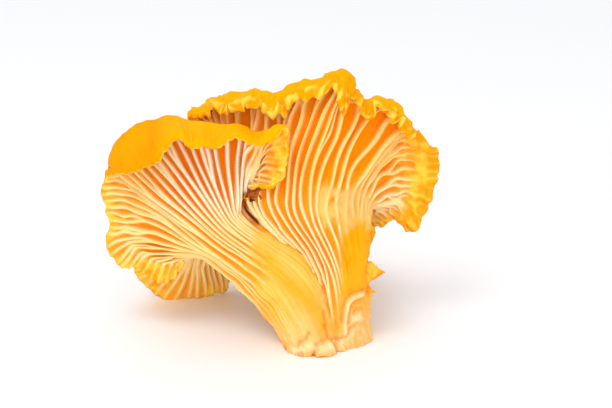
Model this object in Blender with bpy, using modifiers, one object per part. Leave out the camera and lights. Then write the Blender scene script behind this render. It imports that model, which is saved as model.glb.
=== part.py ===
"""Chanterelle mushroom, picked: two ruffled caps that grew together on one short stem.

Each cap is a funnel. A closed skin is laid over it in one run: up the stem, out under the
cap where the gills are, around the thin margin, and back over the smooth upper side into the
hollow of the cap. The two funnels are fused at the stem and the stem is cut off flat.

Blender 4.5, metres, +Z up. The tables of shape below are in millimetres; +X is to the right
and the gills face -Y. The origin is the centre of the bottom of the whole mushroom.
"""

import math

import bmesh
import bpy
import numpy as np

MM = 0.001

# Driving dimensions, mm.
MARGIN_THICKNESS = 1.6
FLESH_THICKNESS = 3.6
STEM_CUT_DEPTH = 6.0
FUSE_VOXEL = 0.5
ORIGIN_SHIFT = np.array((-0.02, 0.78, 0.0))

# Mesh density: around a funnel, and rows from the stem's cut to the bottom of the hollow.
AROUND = 180
GILL_ROWS = 56
SKIN_ROWS = 34
CAP_ROWS = 6
TARGET_TRIANGLES = 8600

# How far along the growth, from 0 at the cut stem to 1 at the margin, each row of points lies.
# The rows are three rings of the stem, the crest where the cap turns over, and the margin.
ROW_GROWTH = np.array((0.0, 0.2, 0.45, 0.84, 1.0))
HOLLOW_GROWTH = 0.56

# A ring of a stem: its centre, and the two half-axes of its ellipse.
LEFT_RINGS = (
    ((10.2, -17.4, -3.0), (5.0, -0.6, 2.2), (1.2, 6.1, 0.0)),
    ((3.0, -14.2, 11.5), (4.9, -2.0, 4.9), (2.7, 5.3, 0.0)),
    ((-10.0, -8.5, 20.5), (3.9, -2.2, 5.4), (3.0, 5.2, 0.0)),
)
RIGHT_RINGS = (
    ((13.5, -14.0, -3.0), (6.6, 2.2, 0.0), (-1.0, 5.8, 0.0)),
    ((12.5, -12.5, 12.5), (6.5, 0.0, 0.0), (0.0, 5.2, -1.6)),
    ((7.0, -7.5, 26.0), (12.8, 0.0, -1.0), (0.0, 5.1, -2.2)),
)

# The outline of a cap: the angle in degrees at which a line of growth leaves the stem's
# ellipse, the point on the crest that it passes, and the point on the margin where it ends.
LEFT_CAP = (
    # the rolled margin along the top, from the right tip to the left shoulder
    (16, (-1, -9.5, 38.5), (3, -12.5, 42.3)),
    (8, (-2.5, -9, 39.5), (0, -13.5, 40.5)),
    (-2, (-4.5, -8, 40), (-3, -14.5, 40)),
    (-11, (-7, -7.5, 40.5), (-6.5, -15, 41.5)),
    (-19, (-10, -7, 40.5), (-9, -16, 40.5)),
    (-27, (-13, -6, 40.6), (-12, -16, 40)),
    (-35, (-16, -5.5, 40.9), (-15, -16, 40)),
    (-41, (-19, -5, 41.3), (-17, -15, 41.5)),
    (-48, (-22, -5, 41.1), (-19, -16, 40)),
    (-55, (-25, -5, 40.4), (-20.5, -16.5, 38)),
    (-63, (-27.5, -5, 38.8), (-23, -15.5, 36)),
    (-71, (-29.3, -6, 36.3), (-26, -14, 34.5)),
    (-79, (-29.8, -7, 33.3), (-29, -12, 33.5)),
    # down the left side
    (-87, (-29.5, -7, 31), (-31.5, -9.5, 32)),
    (-96, (-28.5, -8, 28.5), (-33, -8, 28.5)),
    (-104, (-28, -8, 25.5), (-32.3, -8.5, 25.5)),
    (-112, (-28, -8, 21.5), (-32, -7.5, 21)),
    (-120, (-27.5, -8.5, 18.5), (-32, -8, 15.5)),
    (-128, (-25.8, -9.2, 17.3), (-30, -8, 12.5)),
    (-136, (-24, -10, 16.2), (-27.5, -7.5, 13)),
    (-143, (-22.4, -10.5, 15.3), (-25, -9, 11.5)),
    (-151, (-20.4, -10.5, 14.6), (-21.8, -10.3, 10.2)),
    (-160, (-18.4, -9.6, 14.6), (-19.2, -9.5, 11)),
    # a pleat, then the two lobes that rest on the ground
    (-169, (-17, -7, 15.3), (-18.4, -6.5, 14.3)),
    (180, (-19, 4, 11), (-28, 5, 5.5)),
    (170, (-18.5, 4, 9), (-24.5, 5.5, 1)),
    (159, (-16.5, 3.5, 8), (-19, 6, -0.5)),
    (147, (-14, 3.5, 8), (-14, 7, -0.5)),
    (135, (-12.5, 5, 8), (-12, 8.5, 0)),
    (121, (-10.5, 7.5, 8), (-10, 9.5, 0.5)),
    # up the back, beside the other cap
    (106, (-9.5, 8, 12), (-9.2, 10.5, 2.5)),
    (92, (-11, 7.5, 17), (-13, 12, 13)),
    (78, (-9.5, 3, 22), (-11, 6, 21)),
    (67, (-6.5, -7, 26.5), (-5.4, -9.5, 28.5)),
    (58, (-5.3, -8.8, 28.3), (-3.6, -11.3, 30)),
    # the right edge, up to the tip again
    (50, (-4.2, -9.2, 29.8), (-1.9, -12.3, 31.5)),
    (42, (-3, -9.3, 31.2), (0.6, -13, 32)),
    (34, (-1.8, -9.3, 32.8), (2.6, -13.2, 33.6)),
    (28, (-1.2, -9.3, 34.5), (3.3, -13, 36)),
    (22, (-1, -9.5, 36.5), (3.2, -12.5, 38)),
)
RIGHT_CAP = (
    # the ruffled margin along the top, from behind the left cap to the right shoulder
    (-174, (-14, 4, 39.5), (-16, 2, 40)),
    (-168, (-12, 3, 41.5), (-12.5, -1, 42)),
    (-162, (-10, 2.5, 43), (-10.5, -3, 43.5)),
    (-156, (-8, 2, 44), (-8, -5, 43)),
    (-150, (-6, 1.5, 45), (-6, -4.5, 44.5)),
    (-144, (-4, 1, 45), (-4.5, -5, 45)),
    (-138, (-2, 0, 45.5), (-2, -6.5, 43.5)),
    (-131, (0.5, -1, 45.3), (0.5, -7, 44)),
    (-124, (3, -1.5, 46.1), (2.5, -7.5, 44)),
    (-117, (5.5, -2, 47), (4.5, -7, 46)),
    (-110, (8, -2.5, 47.5), (7, -7.5, 47)),
    (-103, (10.5, -3, 48.3), (10, -7.5, 48)),
    (-97, (12.4, -3, 50.2), (12, -9, 47.5)),
    (-91, (13.9, -3.5, 51.4), (13.5, -10, 45.5)),
    (-85, (14.8, -4, 48.7), (15.5, -8, 46.5)),
    (-79, (16.6, -4, 45.6), (17, -7.5, 45.6)),
    (-72, (18.5, -4, 44.7), (19, -8, 44)),
    (-65, (20.5, -3.5, 44.3), (22, -7, 44.5)),
    (-58, (22.8, -3, 43.2), (23.8, -7.5, 42.5)),
    (-51, (24.8, -3, 41.8), (24.8, -7, 41.3)),
    (-44, (26, -3, 39.6), (27, -6.5, 38.6)),
    # the right lobe
    (-36, (25.5, -3, 36), (31.5, -4, 36.5)),
    (-28, (26, -3, 33), (33, -4, 33)),
    (-20, (26.5, -3, 29.5), (32.5, -4, 29.5)),
    (-12, (26, -3, 27), (31.5, -4, 25.5)),
    (-4, (25, -2.5, 24.5), (30, -3.5, 21)),
    (4, (24.5, -2, 23.5), (28, -2, 18)),
    (13, (23, 0, 22), (26.5, 0, 19)),
    # the back, which hangs down to the ground
    (25, (21, 4, 20), (23.5, 3.5, 18)),
    (40, (19, 8.5, 18), (20, 10, 13)),
    (54, (17.5, 12, 17.5), (19, 16, 5)),
    (68, (15.5, 14, 17.5), (17.5, 18.5, 0.5)),
    (82, (12.5, 15.5, 18), (12.5, 19.5, 0)),
    (96, (9.5, 16, 18.5), (8.5, 18.5, 2.5)),
    (110, (6.5, 16.5, 20), (4, 20, 1.5)),
    (126, (3, 16.5, 22.5), (-1, 20, 4)),
    (140, (0, 15.5, 25.5), (-5.5, 18.5, 10)),
    (156, (-4, 12.5, 30), (-9, 16, 19)),
    (172, (-9.5, 8.5, 35.5), (-12.5, 10, 32)),
)


def around_spline(knots, places):
    """Weights that turn values at knots, on a loop of length 1, into a smooth curve's values."""
    count = len(knots)
    ends = np.append(knots, knots[0] + 1.0)
    gaps = np.diff(ends)
    system = np.zeros((count, count))
    slopes = np.zeros((count, count))
    for i in range(count):
        before = gaps[i - 1]
        after = gaps[i]
        system[i, i - 1] += before / 6
        system[i, i] += (before + after) / 3
        system[i, (i + 1) % count] += after / 6
        slopes[i, i - 1] += 1 / before
        slopes[i, i] -= 1 / before + 1 / after
        slopes[i, (i + 1) % count] += 1 / after
    bends = np.linalg.solve(system, slopes)
    wrapped = (places - knots[0]) % 1.0 + knots[0]
    left = np.clip(np.searchsorted(ends, wrapped, side="right") - 1, 0, count - 1)
    right = (left + 1) % count
    gap = gaps[left]
    after = (wrapped - ends[left]) / gap
    before = 1 - after
    weights = np.zeros((len(places), count))
    rows = np.arange(len(places))
    weights[rows, left] += before
    weights[rows, right] += after
    weights += ((before**3 - before) * gap**2 / 6)[:, None] * bends[left]
    weights += ((after**3 - after) * gap**2 / 6)[:, None] * bends[right]
    return weights


def growth_curve(rows, growth):
    """Points along lines of growth through the rows, which never swing past a row's points."""
    gaps = np.diff(ROW_GROWTH)
    slopes = np.diff(rows, axis=0) / gaps[:, None, None]
    tangents = np.concatenate((slopes[:1], np.zeros_like(slopes[1:]), slopes[-1:]))
    for i in range(1, len(rows) - 1):
        before = gaps[i - 1] + 2 * gaps[i]
        after = 2 * gaps[i - 1] + gaps[i]
        same = slopes[i - 1] * slopes[i] > 0
        first = np.where(same, slopes[i - 1], 1.0)
        second = np.where(same, slopes[i], 1.0)
        tangents[i] = np.where(same, (before + after) / (before / first + after / second), 0.0)
    left = np.clip(np.searchsorted(ROW_GROWTH, growth, side="right") - 1, 0, len(gaps) - 1)
    gap = gaps[left][:, None, None]
    t = (growth - ROW_GROWTH[left])[:, None, None] / gap
    start = (1 + 2 * t) * (1 - t) ** 2 * rows[left] + t * (1 - t) ** 2 * gap * tangents[left]
    end = t**2 * (3 - 2 * t) * rows[left + 1] - t**2 * (1 - t) * gap * tangents[left + 1]
    return start + end


def funnel_net(rings, cap):
    """The rows of points that a funnel passes through, and their places around it."""
    angles = np.radians([angle for angle, _, _ in cap])
    crest = np.array([point for _, point, _ in cap], float)
    margin = np.array([point for _, _, point in cap], float)
    rows = []
    for centre, first, second in rings:
        rows.append(np.array(centre) + np.outer(np.cos(angles), first) + np.outer(np.sin(angles), second))
    steps = 0.3 * np.linalg.norm(np.roll(margin, -1, 0) - margin, axis=1)
    steps += 0.7 * np.linalg.norm(np.roll(crest, -1, 0) - crest, axis=1)
    around = np.concatenate(((0.0,), np.cumsum(steps)[:-1])) / steps.sum()
    return np.array(rows + [crest, margin]), around


def sheet(net, knots, around, growth):
    """Points of the gill side, one row for each value of growth, and its outward normals."""
    lines = np.einsum("un,jnc->juc", around_spline(knots, around), net)
    points = growth_curve(lines, growth)
    across = np.roll(points, -1, 1) - np.roll(points, 1, 1)
    along = np.gradient(points, axis=0)
    normals = np.cross(across, along)
    normals /= np.maximum(np.linalg.norm(normals, axis=2, keepdims=True), 1e-9)
    return points, normals


def flesh(growth):
    """Thickness of the cap's flesh: full near the stem, thin and rounded off at the margin."""
    thickness = np.interp(growth, (HOLLOW_GROWTH, 0.9, 1.0), (FLESH_THICKNESS, 1.9, MARGIN_THICKNESS))
    edge = 1 - np.clip((1 - growth) / 0.035, 0, 1)
    return thickness * np.sqrt(1 - edge**2)


def funnel_rows(rings, cap):
    """Every row of a funnel's closed skin, from the middle of its cut to the hollow's bottom."""
    net, knots = funnel_net(rings, cap)
    around = np.arange(AROUND) / AROUND
    growth = np.linspace(0, 1, GILL_ROWS)
    points, normals = sheet(net, knots, around, growth)
    reach = np.linalg.norm(points[-1] - points[GILL_ROWS // 2], axis=1)
    slenderness = np.clip(reach / 16.0, 0.35, 1.0)

    cut = [points[0].mean(0) + (points[0] - points[0].mean(0)) * t for t in np.linspace(0, 1, CAP_ROWS)]
    skin_growth = np.linspace(1, HOLLOW_GROWTH, SKIN_ROWS + 1)[1:]
    skin_points, _ = sheet(net, knots, around, skin_growth)
    skin_normals = np.empty_like(skin_points)
    for column in range(AROUND):
        for axis in range(3):
            skin_normals[:, column, axis] = np.interp(skin_growth, growth, normals[:, column, axis])
    skin_normals /= np.linalg.norm(skin_normals, axis=2, keepdims=True)
    skin = skin_points - skin_normals * flesh(skin_growth)[:, None, None] * slenderness[None, :, None]

    rim = skin[-1]
    centre = rim.mean(0)
    sink = np.array(rings[2][0]) - np.array(rings[1][0])
    sink = -sink / np.linalg.norm(sink)
    hollow = [
        centre + (rim - centre) * (1 - t) + sink * math.sin(t * math.pi / 2)
        for t in np.linspace(0, 1, CAP_ROWS + 1)[1:]
    ]
    return np.array(cut[:-1] + list(points) + list(skin) + hollow)


def lay_on_sphere(name, rows, material):
    """A sphere's grid of vertices laid on the rows: its south pole is the first row."""
    count = len(rows)
    mesh = bpy.data.meshes.new(name)
    shape = bmesh.new()
    bmesh.ops.create_uvsphere(shape, u_segments=AROUND, v_segments=count - 1, radius=1.0)
    for vertex in shape.verts:
        polar = math.acos(max(-1.0, min(1.0, vertex.co.z)))
        row = round((1 - polar / math.pi) * (count - 1))
        column = round(math.atan2(vertex.co.y, vertex.co.x) / math.tau * AROUND) % AROUND
        vertex.co = (rows[row, column] + ORIGIN_SHIFT) * MM
    bmesh.ops.recalc_face_normals(shape, faces=shape.faces)
    shape.to_mesh(mesh)
    shape.free()
    mesh.materials.append(material)
    body = bpy.data.objects.new(name, mesh)
    return body


def chanterelle_material():
    """Warm orange-yellow flesh with a soft sheen."""
    material = bpy.data.materials.new("chanterelle_flesh")
    material.use_nodes = True
    surface = material.node_tree.nodes["Principled BSDF"]
    surface.inputs["Base Color"].default_value = (0.90, 0.42, 0.04, 1.0)
    surface.inputs["Roughness"].default_value = 0.5
    surface.inputs["Metallic"].default_value = 0.0
    return material


def join(objects, name):
    """One object that holds the meshes of several."""
    shape = bmesh.new()
    for piece in objects:
        shape.from_mesh(piece.data)
    mesh = bpy.data.meshes.new(name)
    shape.to_mesh(mesh)
    shape.free()
    mesh.materials.append(objects[0].data.materials[0])
    for piece in objects:
        bpy.data.objects.remove(piece)
    return bpy.data.objects.new(name, mesh)


def stem_cutter(collection):
    """A block below the ground, which cuts the stem off flat."""
    mesh = bpy.data.meshes.new("stem_cutter")
    shape = bmesh.new()
    bmesh.ops.create_cube(shape, size=1.0)
    bmesh.ops.scale(shape, vec=(0.12, 0.12, STEM_CUT_DEPTH * MM), verts=shape.verts)
    bmesh.ops.translate(shape, vec=(0, 0, -STEM_CUT_DEPTH * MM / 2), verts=shape.verts)
    shape.to_mesh(mesh)
    shape.free()
    cutter = bpy.data.objects.new("stem_cutter", mesh)
    cutter.hide_render = True
    cutter.display_type = "WIRE"
    collection.objects.link(cutter)
    return cutter


def triangle_count(thing):
    """Triangles of an object as its modifiers leave it."""
    bpy.context.view_layer.update()
    mesh = thing.evaluated_get(bpy.context.evaluated_depsgraph_get()).data
    mesh.calc_loop_triangles()
    return len(mesh.loop_triangles)


def build():
    for thing in list(bpy.data.objects):
        bpy.data.objects.remove(thing)
    parts = bpy.data.collections.new("chanterelle_mushroom")
    cutters = bpy.data.collections.new("cutters")
    bpy.context.scene.collection.children.link(parts)
    bpy.context.scene.collection.children.link(cutters)

    flesh_material = chanterelle_material()
    left = lay_on_sphere("left_funnel", funnel_rows(LEFT_RINGS, LEFT_CAP[::-1]), flesh_material)
    right = lay_on_sphere("right_funnel", funnel_rows(RIGHT_RINGS, RIGHT_CAP), flesh_material)
    mushroom = join((left, right), "chanterelle")
    parts.objects.link(mushroom)

    fuse = mushroom.modifiers.new("fuse", "REMESH")
    fuse.mode = "VOXEL"
    fuse.voxel_size = FUSE_VOXEL * MM
    fuse.use_smooth_shade = True
    thin_out = mushroom.modifiers.new("thin_out", "DECIMATE")
    thin_out.ratio = TARGET_TRIANGLES / triangle_count(mushroom)
    cut = mushroom.modifiers.new("stem_cut", "BOOLEAN")
    cut.operation = "DIFFERENCE"
    cut.object = stem_cutter(cutters)


build()
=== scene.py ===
"""Looks of the chanterelle: forked gills, ruffled margins and skin, on the shape of the CAD model.

Each cap is a funnel whose closed skin runs up the stem, out under the cap, around the thin
margin and back over the upper side into the hollow. The columns of its mesh follow the crests
of the gills, so that every gill is real geometry. Tables are in millimetres.
"""

import math

import bmesh
import bpy
import numpy as np
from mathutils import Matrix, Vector


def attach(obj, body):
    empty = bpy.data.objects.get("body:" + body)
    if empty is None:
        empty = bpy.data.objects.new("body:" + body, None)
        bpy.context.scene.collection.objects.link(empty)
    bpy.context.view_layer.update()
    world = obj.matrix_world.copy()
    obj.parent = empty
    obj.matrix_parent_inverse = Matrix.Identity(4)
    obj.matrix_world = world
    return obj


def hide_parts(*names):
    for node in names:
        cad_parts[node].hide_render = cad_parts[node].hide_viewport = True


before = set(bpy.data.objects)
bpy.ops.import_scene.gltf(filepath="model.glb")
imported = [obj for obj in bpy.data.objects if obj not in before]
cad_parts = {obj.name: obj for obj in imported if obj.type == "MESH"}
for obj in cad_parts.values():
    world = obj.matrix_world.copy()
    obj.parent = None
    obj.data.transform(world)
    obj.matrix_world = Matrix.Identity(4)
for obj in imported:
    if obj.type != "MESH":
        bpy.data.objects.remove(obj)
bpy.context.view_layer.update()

MM = 0.001
NODE = "chanterelle"

# Driving dimensions, mm.
MARGIN_THICKNESS = 1.3
RIM_THICKNESS = 1.7
FLESH_THICKNESS = 3.6
ORIGIN_SHIFT = np.array((-0.02, 0.78, 0.0))

# How far along the growth, from 0 at the cut stem to 1 at the margin, each row of points lies.
# The rows are three rings of the stem, the crest where the cap turns over, and the margin.
ROW_GROWTH = np.array((0.0, 0.2, 0.45, 0.84, 1.0))

# The growth down to which the upper skin goes into the hollow, and the share of the growth over
# which the margin is rounded.
HOLLOW_GROWTH = 0.56
ROUNDED_GROWTH = 0.035

# How far a cap reaches out, mm, where its flesh has its full thickness.
FULL_REACH = 16.0

# Lines on the front of the mushroom, each through places given by their x and z, mm: the curled
# lip, the creases and the pads of the feet, the deeper yellow of the stem, and the seam in the
# left cap's rolled top.
LIP = (((14.5, 3.2), (14.2, 5.6), (14.4, 7.8), (14.9, 9.2), (15.9, 10.1), (17.3, 10.4), (19.1, 9.6)),)
CREASES = (
    # around the curled lip
    ((13.7, 5.6), (13.8, 8.1), (14.4, 9.8), (15.5, 10.9), (17.3, 11.3), (19.0, 10.6)),
    ((15.0, 5.4), (15.1, 7.4), (15.7, 8.8), (16.7, 9.3), (18.4, 9.0)),
    ((15.9, 6.9), (16.7, 7.7), (17.9, 7.4)),
    ((14.6, 3.0), (15.6, 4.3), (16.8, 5.0)),
    # between the feet
    ((10.4, 8.1), (10.7, 5.4), (11.3, 3.5), (12.0, 2.8), (12.9, 2.4), (14.3, 2.7)),
    ((8.8, 2.5), (9.9, 3.0), (11.3, 3.3)),
    ((12.3, 2.7), (12.9, 1.8), (13.3, 0.0)),
    # cracks of the left foot
    ((5.2, 1.8), (5.6, 3.0), (6.8, 3.6), (7.3, 4.6)),
    ((8.0, 0.0), (8.4, 1.1), (9.0, 1.6)),
)
PADS = (
    ((15.8, 6.4), (16.9, 5.6)),
    ((13.6, 1.6), (15.5, 2.6), (18.0, 3.6)),
    ((9.4, 1.7), (11.8, 1.8)),
    ((4.9, 1.0), (7.6, 2.2)),
)
DEEP_STRIPE = (
    ((-2.4, 19.5), (2.6, 15.0), (6.1, 12.0), (8.6, 9.0), (10.1, 5.7)),
    ((12.5, 9.0), (12.9, 4.6)),
)
SEAM = (((-22.0, 41.5), (-21.6, 37.0)),)

# How wide those marks are, mm.
LIP_WIDTH = 0.55
CREASE_WIDTH = 0.38
# The width of the painted shade in the creases, mm.
CREASE_SHADE_WIDTH = 0.3
PAD_WIDTH = 1.0
STRIPE_WIDTH = 1.9
SEAM_WIDTH = 1.1

# How far the relief stands out or goes in, mm.
LIP_HEIGHT = 0.6
CREASE_DEPTH = 0.55
PAD_HEIGHT = 0.35
SEAM_DEPTH = 0.3
COARSE_DIMPLE = 0.16
FINE_DIMPLE = 0.07
KNOB_HEIGHT = 0.35
RUFFLE_WAVE = 0.75
RUFFLE_REACH = 0.45

# The peak of the right cap, the shoulder left of it, and the bottom of the slit between the caps, along
# which shadow is painted, mm.
PEAK = np.array((13.5, -6.0, 49.5))
PEAK_TOP_X = 14.3
SHOULDER = np.array((9.4, -4.0, 47.8))
SLIT = (
    (-5.4, -8.9, 28.0),
    (-5.2, -8.9, 26.6),
    (-4.4, -9.0, 25.0),
    (-3.5, -9.3, 24.0),
    (-2.6, -9.8, 23.2),
)

# Thorns of torn flesh on the stem's right side: root, tip, half breadth and half height, mm.
THORNS = (
    ((17.0, -13.6, 14.0), (22.2, -13.6, 13.9), 1.1, 2.4),
    ((18.2, -13.6, 10.6), (20.6, -13.6, 9.6), 0.4, 0.7),
    ((18.6, -13.6, 8.6), (20.1, -13.6, 8.8), 0.3, 0.5),
)

# Crumbs of soil at the slit between the caps: middle and radius, mm.
CRUMBS = (
    ((-4.5, -10.6, 28.7), 0.45),
    ((-3.8, -11.1, 29.6), 0.62),
    ((-3.0, -11.1, 29.3), 0.75),
    ((-2.6, -10.9, 28.5), 0.60),
    ((-3.5, -11.2, 28.3), 0.55),
    ((-2.3, -11.7, 30.4), 0.50),
)

# Mesh density: the gill side's rows up to each growth, and rows of the upper skin and of each end.
GILL_ROWS = ((0, 0.0), (3, 0.03), (40, 0.2), (58, 0.45), (84, 0.84), (100, 1.0))
SKIN_ROWS = 22
END_ROWS = 5

# The growths between which the depth of the gills is given.
DEPTH_GROWTH = (0.0, 0.08, 0.2, 0.45, 0.75, 0.93, 1.0)

# A ring of a stem: its centre, and the two half-axes of its ellipse.
LEFT_RINGS = (
    ((10.2, -17.4, -3.0), (5.0, -0.6, 2.2), (1.2, 6.1, 0.0)),
    ((3.0, -14.2, 11.5), (4.9, -2.0, 4.9), (2.7, 5.3, 0.0)),
    ((-10.0, -8.5, 20.5), (3.9, -2.2, 5.4), (3.0, 5.2, 0.0)),
)
RIGHT_RINGS = (
    ((13.5, -14.0, -3.0), (6.6, 2.2, 0.0), (-1.0, 5.8, 0.0)),
    ((12.5, -12.5, 12.5), (6.5, 0.0, 0.0), (0.0, 5.2, -1.6)),
    ((7.0, -7.5, 26.0), (12.8, 0.0, -1.0), (0.0, 5.1, -2.2)),
)

# The outline of a cap: the angle in degrees at which a line of growth leaves the stem's
# ellipse, the point on the crest that it passes, and the point on the margin where it ends.
LEFT_CAP = (
    # the rolled margin along the top, from the right tip to the left shoulder
    (16, (-1, -9.5, 38.5), (3, -12.5, 42.3)),
    (8, (-2.5, -9, 39.5), (0, -13.5, 40.5)),
    (-2, (-4.5, -8, 40), (-3, -14.5, 40)),
    (-11, (-7, -7.5, 40.5), (-6.5, -15, 41.5)),
    (-19, (-10, -7, 40.5), (-9, -16, 40.5)),
    (-27, (-13, -6, 40.6), (-12, -16, 40)),
    (-35, (-16, -5.5, 40.9), (-15, -16, 40)),
    (-41, (-19, -5, 41.3), (-17, -15, 41.5)),
    (-48, (-22, -5, 41.1), (-19, -16, 40)),
    (-55, (-25, -5, 40.4), (-20.5, -16.5, 38)),
    (-63, (-27.5, -5, 38.8), (-23, -15.5, 36)),
    (-71, (-29.3, -6, 36.3), (-26, -14, 34.5)),
    (-79, (-29.8, -7, 33.3), (-29, -12, 33.5)),
    # down the left side
    (-87, (-29.5, -7, 31), (-31.5, -9.5, 32)),
    (-96, (-28.5, -8, 28.5), (-33, -8, 28.5)),
    (-104, (-28, -8, 25.5), (-32.3, -8.5, 25.5)),
    (-112, (-28, -8, 21.5), (-32, -7.5, 21)),
    (-120, (-27.5, -8.5, 18.5), (-32, -8, 15.5)),
    (-128, (-25.8, -9.2, 17.3), (-30, -8, 12.5)),
    (-136, (-24, -10, 16.2), (-27.5, -7.5, 13)),
    (-143, (-22.4, -10.5, 15.3), (-25, -9, 11.5)),
    (-151, (-20.4, -10.5, 14.6), (-21.8, -10.3, 10.2)),
    (-160, (-18.4, -9.6, 14.6), (-19.2, -9.5, 11)),
    # a pleat, then the two lobes that rest on the ground
    (-169, (-17, -7, 15.3), (-18.4, -6.5, 14.3)),
    (180, (-19, 4, 11), (-28, 5, 5.5)),
    (170, (-18.5, 4, 9), (-24.5, 5.5, 1)),
    (159, (-16.5, 3.5, 8), (-19, 6, -0.5)),
    (147, (-14, 3.5, 8), (-14, 7, -0.5)),
    (135, (-12.5, 5, 8), (-12, 8.5, 0)),
    (121, (-10.5, 7.5, 8), (-10, 9.5, 0.5)),
    # up the back, beside the other cap
    (106, (-9.5, 8, 12), (-9.2, 10.5, 2.5)),
    (92, (-11, 7.5, 17), (-13, 12, 13)),
    (78, (-9.5, 3, 22), (-11, 6, 21)),
    (67, (-6.5, -7, 26.5), (-5.4, -9.5, 28.5)),
    (58, (-5.3, -8.8, 28.3), (-3.6, -11.3, 30)),
    # the right edge, up to the tip again
    (50, (-4.2, -9.2, 29.8), (-1.9, -12.3, 31.5)),
    (42, (-3, -9.3, 31.2), (0.6, -13, 32)),
    (34, (-1.8, -9.3, 32.8), (2.6, -13.2, 33.6)),
    (28, (-1.2, -9.3, 34.5), (3.3, -13, 36)),
    (22, (-1, -9.5, 36.5), (3.2, -12.5, 38)),
)
RIGHT_CAP = (
    # the ruffled margin along the top, from behind the left cap to the right shoulder
    (-174, (-14, 4, 39.5), (-16, 2, 40)),
    (-168, (-12, 3, 41.5), (-12.5, -1, 42)),
    (-162, (-10, 2.5, 43), (-10.5, -3, 43.5)),
    (-156, (-8, 2, 44), (-8, -5, 43)),
    (-150, (-6, 1.5, 45), (-6, -4.5, 44.5)),
    (-144, (-4, 1, 45), (-4.5, -5, 45)),
    (-138, (-2, 0, 45.5), (-2, -6.5, 43.5)),
    (-131, (0.5, -1, 45.3), (0.5, -7, 44)),
    (-124, (3, -1.5, 46.1), (2.5, -7.5, 44)),
    (-117, (5.5, -2, 47), (4.5, -7, 46)),
    (-110, (8, -2.5, 47.5), (7, -7.5, 47)),
    (-103, (10.5, -3, 48.3), (10, -7.5, 48)),
    (-97, (12.4, -3, 50.2), (12, -9, 47.5)),
    (-91, (13.9, -3.5, 51.4), (13.5, -10, 45.5)),
    (-85, (14.8, -4, 48.7), (15.5, -8, 46.5)),
    (-79, (16.6, -4, 45.6), (17, -7.5, 45.6)),
    (-72, (18.5, -4, 44.7), (19, -8, 44)),
    (-65, (20.5, -3.5, 44.3), (22, -7, 44.5)),
    (-58, (22.8, -3, 43.2), (23.8, -7.5, 42.5)),
    (-51, (24.8, -3, 41.8), (24.8, -7, 41.3)),
    (-44, (26, -3, 39.6), (27, -6.5, 38.6)),
    # the right lobe
    (-36, (25.5, -3, 36), (31.5, -4, 36.5)),
    (-28, (26, -3, 33), (33, -4, 33)),
    (-20, (26.5, -3, 29.5), (32.5, -4, 29.5)),
    (-12, (26, -3, 27), (31.5, -4, 25.5)),
    (-4, (25, -2.5, 24.5), (30, -3.5, 21)),
    (4, (24.5, -2, 23.5), (28, -2, 18)),
    (13, (23, 0, 22), (26.5, 0, 19)),
    # the back, which hangs down to the ground
    (25, (21, 4, 20), (23.5, 3.5, 18)),
    (40, (19, 8.5, 18), (20, 10, 13)),
    (54, (17.5, 12, 17.5), (19, 16, 5)),
    (68, (15.5, 14, 17.5), (17.5, 18.5, 0.5)),
    (82, (12.5, 15.5, 18), (12.5, 19.5, 0)),
    (96, (9.5, 16, 18.5), (8.5, 18.5, 2.5)),
    (110, (6.5, 16.5, 20), (4, 20, 1.5)),
    (126, (3, 16.5, 22.5), (-1, 20, 4)),
    (140, (0, 15.5, 25.5), (-5.5, 18.5, 10)),
    (156, (-4, 12.5, 30), (-9, 16, 19)),
    (172, (-9.5, 8.5, 35.5), (-12.5, 10, 32)),
)


def smoothstep(low, high, x):
    """0 below low, 1 above high, with a smooth rise between."""
    t = np.clip((x - low) / (high - low), 0.0, 1.0)
    return t * t * (3 - 2 * t)


def line_distance(points, line):
    """Distance of points from a line through several places, mm."""
    nearest = np.full(len(points), np.inf)
    for start, end in zip(np.array(line[:-1]), np.array(line[1:])):
        along = end - start
        share = np.clip((points - start) @ along / (along @ along), 0, 1)
        nearest = np.minimum(nearest, np.linalg.norm(points - start - share[:, None] * along, axis=1))
    return nearest


def closeness(points, lines, width):
    """1 on lines of the mushroom's front and 0 well beyond a width from them."""
    nearest = np.min([line_distance(points[:, ::2], line) for line in lines], axis=0)
    # The front ends at a plane that leans back as the stem does.
    behind = points[:, 1] + 19.5 - 0.48 * points[:, 2]
    return np.exp(-((nearest / width) ** 2)) * smoothstep(0.5, -1.0, behind)


class Ripples:
    """Smooth noise of about -1 to 1 at points in mm: a sum of waves in random directions."""

    def __init__(self, rng, wavelength, waves=16):
        directions = rng.normal(size=(waves, 3))
        directions /= np.linalg.norm(directions, axis=1, keepdims=True)
        lengths = wavelength * rng.uniform(0.7, 1.5, waves)
        self.paces = (directions * (math.tau / lengths)[:, None]).T
        self.phases = rng.uniform(0, math.tau, waves)

    def __call__(self, points):
        return np.sin(points @ self.paces + self.phases).sum(-1) / math.sqrt(len(self.phases))


class LoopCurve:
    """A smooth closed curve through values at knots on a loop of length 1."""

    def __init__(self, knots, values):
        count = len(knots)
        self.values = values
        self.ends = np.append(knots, knots[0] + 1.0)
        self.gaps = np.diff(self.ends)
        system = np.zeros((count, count))
        slopes = np.zeros((count, count))
        for i in range(count):
            before = self.gaps[i - 1]
            after = self.gaps[i]
            system[i, i - 1] += before / 6
            system[i, i] += (before + after) / 3
            system[i, (i + 1) % count] += after / 6
            slopes[i, i - 1] += 1 / before
            slopes[i, i] -= 1 / before + 1 / after
            slopes[i, (i + 1) % count] += 1 / after
        self.bends = np.linalg.solve(system, slopes @ values)

    def at(self, places):
        wrapped = (places - self.ends[0]) % 1.0 + self.ends[0]
        left = np.clip(np.searchsorted(self.ends, wrapped, side="right") - 1, 0, len(self.gaps) - 1)
        right = (left + 1) % len(self.gaps)
        gap = self.gaps[left][:, None]
        after = (wrapped - self.ends[left])[:, None] / gap
        before = 1 - after
        bend = (before**3 - before) * self.bends[left] + (after**3 - after) * self.bends[right]
        return before * self.values[left] + after * self.values[right] + bend * gap**2 / 6


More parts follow.
